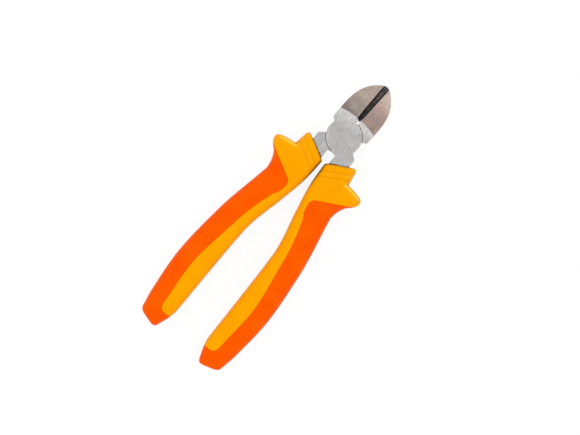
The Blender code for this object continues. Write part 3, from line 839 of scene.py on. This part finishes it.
def finish(name, metallic):
    """Material with a Principled shader, its node tree and the shader."""
    mat = bpy.data.materials.new(name)
    mat.use_nodes = True
    shader = mat.node_tree.nodes["Principled BSDF"]
    shader.inputs["Metallic"].default_value = metallic
    return mat, mat.node_tree, shader


def relief(tree, shader, height, depth):
    """Fine bump of a given depth in metres."""
    node = tree.nodes.new("ShaderNodeBump")
    node.inputs["Strength"].default_value = 1.0
    node.inputs["Distance"].default_value = depth
    link(tree, height, node.inputs["Height"])
    link(tree, node.outputs["Normal"], shader.inputs["Normal"])


def satin_steel(name, dark, light, brightest):
    """Fine-ground steel with cloudy patches and specks, brightest by the jaws.

    Its flat faces are brushed along the tool, and its sides have finer lines round them.
    """
    mat, tree, shader = finish(name, metallic=1.0)
    cloud = spread(tree, noise(tree, scale=260.0), 0.0, 1.0, start=0.3, end=0.7)
    colour = tint(tree, cloud, dark, light)
    colour = tint(tree, along_axis(tree, "Y", PALE_START, PALE_END), colour, brightest)
    specks = patches(tree, amount=0.20, start=0.40, scale=1500.0)
    colour = tint(tree, specks, colour, SPECK_GREY)
    level = facing_up(tree)
    brush = patches(tree, amount=0.58, start=0.40, scale=2400.0, stretch=(1.0, 8.0, 1.0))
    colour = tint(tree, reckon(tree, "MULTIPLY", brush, level), colour, LINE_GREY)
    side_lines = patches(tree, amount=0.45, start=0.40, scale=4000.0, stretch=(14.0, 14.0, 1.0))
    upright = reckon(tree, "SUBTRACT", 1.0, level)
    colour = tint(tree, reckon(tree, "MULTIPLY", side_lines, upright), colour, LINE_GREY)
    link(tree, colour, shader.inputs["Base Color"])
    lines = noise(tree, scale=6000.0, stretch=(1.0, 12.0, 1.0))
    link(tree, spread(tree, lines, low=0.34, high=0.44), shader.inputs["Roughness"])
    relief(tree, shader, lines, LINE_DEPTH)
    return mat


def ground_face():
    """Jaw faces straight off the grinding wheel: brownish, with cross lines, blotches, paler tips and a
    painted highlight near the right jaw's tip.
    """
    mat, tree, shader = finish("ground_steel", metallic=1.0)
    to_tip = along_axis(tree, "Y", GRIND_START, GROUND_TONE_END)
    colour = tint(tree, to_tip, GROUND_BASE, GROUND_TIP)
    to_right = along_axis(tree, "X", ROSY_START, ROSY_END)
    colour = tint(tree, spread(tree, to_right, 0.0, ROSY_SHARE, start=0.0, end=1.0), colour, GROUND_RIGHT)
    # Painted highlight near the right jaw's tip
    colour = tint(tree, near(tree, HIGHLIGHT_SPOT, HIGHLIGHT_SPOT_RADIUS), colour, GROUND_HIGHLIGHT)
    rosy = patches(tree, amount=0.75, start=0.46, scale=330.0, stretch=(1.0, 1.6, 1.0))
    rosy = reckon(tree, "MULTIPLY", rosy, spread(tree, to_right, low=0.5, high=1.0, start=0.0, end=1.0))
    colour = tint(tree, rosy, colour, GROUND_ROSY)
    olive = patches(tree, amount=0.75, start=0.46, scale=240.0, stretch=(1.5, 1.0, 1.3))
    olive = reckon(tree, "MULTIPLY", olive, spread(tree, to_right, low=1.0, high=0.3, start=0.0, end=1.0))
    colour = tint(tree, olive, colour, GROUND_OLIVE)
    specks = patches(tree, amount=0.55, start=0.40, scale=1300.0, stretch=(1.0, 2.0, 1.0))
    colour = tint(tree, specks, colour, GROUND_SPECK)
    lines = noise(tree, scale=5000.0, stretch=(30.0, 1.0, 1.0))
    colour = tint(tree, spread(tree, lines, low=0.0, high=0.16), colour, GROUND_LINE)
    link(tree, colour, shader.inputs["Base Color"])
    link(tree, spread(tree, lines, low=0.30, high=0.42), shader.inputs["Roughness"])
    relief(tree, shader, lines, GRIND_LINE_DEPTH)
    return mat


def edge_face(name, dark, light):
    """Dark faces of the cutting edges, streaked along them: hardened steel, made darker with painted shade of
    the V between the edges.
    """
    mat, tree, shader = finish(name, metallic=0.75)
    streaks = spread(tree, noise(tree, scale=2600.0, stretch=(1.0, 5.0, 1.0)), 0.0, 1.0)
    link(tree, tint(tree, streaks, dark, light), shader.inputs["Base Color"])
    grain = noise(tree, scale=5000.0, stretch=(1.0, 8.0, 1.0))
    link(tree, spread(tree, grain, low=0.38, high=0.5), shader.inputs["Roughness"])
    relief(tree, shader, grain, LINE_DEPTH)
    return mat


def moulded(name, deep, bright, shade, roughness, grain_scale, grain_depth, specular, gloss_tint):
    """Moulded insulation with a fine even grain, slight clouds of colour, and painted shade in its ring
    grooves, on the collar's lip and in crevices.
    """
    mat, tree, shader = finish(name, metallic=0.0)
    shader.inputs["Specular IOR Level"].default_value = specular
    shader.inputs["Specular Tint"].default_value = (*gloss_tint, 1.0)
    cloud = spread(tree, noise(tree, scale=120.0), 0.0, 1.0)
    colour = tint(tree, cloud, deep, bright)
    # Painted shade: darker in the ring grooves, on the collar's lip, and in crevices by ambient occlusion
    distance = collar_distance(tree)
    for drop in RING_GROOVE_DROPS:
        off = reckon(tree, "ABSOLUTE", reckon(tree, "SUBTRACT", distance, drop - COLLAR_DROP))
        colour = tint(tree, spread(tree, off, GROOVE_SHADE, 0.0, 0.0, RING_GROOVE_WIDTH / 2), colour, shade)
    lip = spread(tree, distance, LIP_SHADE, 0.0, COLLAR_LIP - LIP_FADE, COLLAR_LIP + LIP_FADE)
    colour = tint(tree, lip, colour, shade)
    link(tree, crevice_shade(tree, colour, shade, CREVICE_REACH), shader.inputs["Base Color"])
    grain = noise(tree, grain_scale, detail=2.0)
    uneven = spread(tree, grain, roughness - ROUGHNESS_SPREAD, roughness + ROUGHNESS_SPREAD)
    link(tree, uneven, shader.inputs["Roughness"])
    relief(tree, shader, grain, grain_depth)
    return mat


joint_steel = satin_steel("joint_steel", dark=(0.510, 0.505, 0.491), light=(0.606, 0.601, 0.585),
                          brightest=(0.84, 0.794, 0.784))
rivet_steel = satin_steel("rivet_steel", dark=(0.515, 0.510, 0.496), light=(0.601, 0.596, 0.580),
                          brightest=(0.84, 0.794, 0.784))
# Pale steel for the sloping wall along the arc: a painted highlight
arc_highlight_steel = satin_steel("arc_highlight_steel", dark=(0.78, 0.77, 0.76), light=(0.84, 0.83, 0.82),
                        brightest=(0.86, 0.85, 0.84))
ground_steel = ground_face()
# Cutting bevels: dark from hardening, and darker from painted shade of the V
edge_steel = edge_face("edge_steel", dark=(0.060, 0.055, 0.055), light=(0.380, 0.358, 0.350))
# Steep walls of the V: darker still, painted shade
shaded_wall_steel = edge_face("shaded_wall_steel", dark=(0.020, 0.018, 0.018), light=(0.040, 0.036, 0.036))
yellow_insulation = moulded("yellow_insulation", deep=(0.985, 0.355, 0.0), bright=(1.0, 0.382, 0.0),
                            shade=(0.16, 0.050, 0.0), roughness=0.42, grain_scale=3200.0,
                            grain_depth=0.000004, specular=0.5, gloss_tint=(1.0, 0.70, 0.0))
orange_grip = moulded("orange_grip", deep=(0.985, 0.090, 0.0), bright=(1.0, 0.112, 0.0),
                      shade=(0.30, 0.020, 0.0), roughness=0.45, grain_scale=4200.0,
                      grain_depth=0.000012, specular=0.2, gloss_tint=(1.0, 0.40, 0.0))


# Pieces

def show(name, mesh, lever, node):
    """Skin of a CAD node, set on its lever and riding on it."""
    place = Matrix.Translation((0.0, 0.0, HALF_THICKNESS))
    if lever == "rear_lever":
        place = place @ Matrix.Rotation(math.pi, 4, "Y")
    mesh.transform(place)
    mesh.shade_smooth()
    mesh.set_sharp_from_angle(angle=SHARP_ANGLE)
    obj = bpy.data.objects.new(name, mesh)
    bpy.context.scene.collection.objects.link(obj)
    normals = obj.modifiers.new("face normals", "WEIGHTED_NORMAL")
    normals.keep_sharp = True
    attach(obj, lever)
    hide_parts(node)
    return obj


def rivet_mesh():
    mesh = turned(rivet_profile(0.0, 0.0))
    mesh.materials.append(rivet_steel)
    return mesh


sleeve = sleeve_mesh()
grip = grip_mesh()
show("front_half_skin", half_mesh(JAW_LEAN, 0.0), "front_lever", "front_half")
show("rear_half_skin", half_mesh(-JAW_LEAN, SLOT_WIDTH), "rear_lever", "rear_half")
show("pivot_rivet_skin", rivet_mesh(), "front_lever", "pivot_rivet")
handles = (
    show("left_sleeve_skin", sleeve.copy(), "rear_lever", "left_sleeve"),
    show("left_grip_skin", grip.copy(), "rear_lever", "left_grip"),
    show("right_sleeve_skin", sleeve, "front_lever", "right_sleeve"),
    show("right_grip_skin", grip, "front_lever", "right_grip"),
)


# Studio

def seen_rays(tree):
    """One for what the camera sees, directly, in a reflection or through glass, and zero for lighting."""
    path = tree.nodes.new("ShaderNodeLightPath")
    seen = path.outputs["Is Camera Ray"]
    for kind in ("Is Glossy Ray", "Is Transmission Ray"):
        seen = reckon(tree, "MAXIMUM", seen, path.outputs[kind])
    return seen


def floor_finish():
    """White sweep that keeps a faint shadow where it is seen, and bounces light as a pale floor."""
    mat = bpy.data.materials.new("white_sweep")
    mat.use_nodes = True
    tree = mat.node_tree
    tree.nodes.clear()
    bounce = tree.nodes.new("ShaderNodeBsdfDiffuse")
    bounce.inputs["Color"].default_value = (FLOOR_BOUNCE, FLOOR_BOUNCE, FLOOR_BOUNCE, 1.0)
    shade = tree.nodes.new("ShaderNodeBsdfDiffuse")
    shade.inputs["Color"].default_value = (FLOOR_SHADE, FLOOR_SHADE, FLOOR_SHADE, 1.0)
    glow = tree.nodes.new("ShaderNodeEmission")
    glow.inputs["Strength"].default_value = FLOOR_GLOW
    both = tree.nodes.new("ShaderNodeAddShader")
    mix = tree.nodes.new("ShaderNodeMixShader")
    out = tree.nodes.new("ShaderNodeOutputMaterial")
    link(tree, shade.outputs["BSDF"], both.inputs[0])
    link(tree, glow.outputs["Emission"], both.inputs[1])
    link(tree, seen_rays(tree), mix.inputs["Fac"])
    link(tree, bounce.outputs["BSDF"], mix.inputs[1])
    link(tree, both.outputs["Shader"], mix.inputs[2])
    link(tree, mix.outputs["Shader"], out.inputs["Surface"])
    return mat


def floor():
    """Floor under the lowest point of the tool."""
    half = FLOOR_HALF_WIDTH
    z = cad_box[0][2]
    mesh = bpy.data.meshes.new("floor")
    mesh.from_pydata([(-half, -half, z), (half, -half, z), (half, half, z), (-half, half, z)], [],
                     [(0, 1, 2, 3)])
    mesh.materials.append(floor_finish())
    obj = bpy.data.objects.new("floor", mesh)
    bpy.context.scene.collection.objects.link(obj)


def sky():
    """White where it is seen, and a soft dome that is brighter overhead for lighting."""
    world = bpy.data.worlds.new("studio")
    bpy.context.scene.world = world
    world.use_nodes = True
    tree = world.node_tree
    shader = tree.nodes["Background"]
    height = coordinate(tree, "Generated")["Z"]
    dome = spread(tree, height, HORIZON_STRENGTH, ZENITH_STRENGTH, start=0.0, end=1.0)
    strength = tree.nodes.new("ShaderNodeMix")
    link(tree, seen_rays(tree), strength.inputs[0])
    link(tree, dome, strength.inputs[2])
    strength.inputs[3].default_value = 1.0
    link(tree, strength.outputs[0], shader.inputs["Strength"])
    shader.inputs["Color"].default_value = (1.0, 1.0, 1.0, 1.0)


def softbox(name, place, width, height, watts, receivers):
    """Soft lamp that looks at the middle of the view, and only adds highlights to some pieces."""
    lamp = bpy.data.lights.new(name, "AREA")
    lamp.shape = "RECTANGLE"
    lamp.size = width
    lamp.size_y = height
    lamp.energy = watts
    obj = bpy.data.objects.new(name, lamp)
    obj.location = place
    obj.rotation_euler = (Vector(VIEW_CENTRE) - Vector(place)).to_track_quat("-Z", "Y").to_euler()
    obj.visible_diffuse = False
    obj.light_linking.receiver_collection = bpy.data.collections.new(name)
    for piece in receivers:
        obj.light_linking.receiver_collection.objects.link(piece)
    bpy.context.scene.collection.objects.link(obj)


def camera():
    """Long lens straight above, turned as the tool lies in the photograph."""
    lens = bpy.data.cameras.new("camera")
    lens.lens = LENS_MM
    lens.sensor_width = SENSOR_MM
    obj = bpy.data.objects.new("camera", lens)
    distance = VIEW_WIDTH * LENS_MM / SENSOR_MM
    obj.location = Vector(VIEW_CENTRE) + Vector((0.0, 0.0, distance))
    obj.rotation_euler = (0.0, 0.0, TOOL_TURN)
    bpy.context.scene.collection.objects.link(obj)
    bpy.context.scene.camera = obj


floor()
sky()
softbox("rim_light", LAMP_PLACE, LAMP_WIDTH, LAMP_HEIGHT, LAMP_WATTS, handles)
camera()
bpy.context.scene.view_settings.view_transform = "Standard"
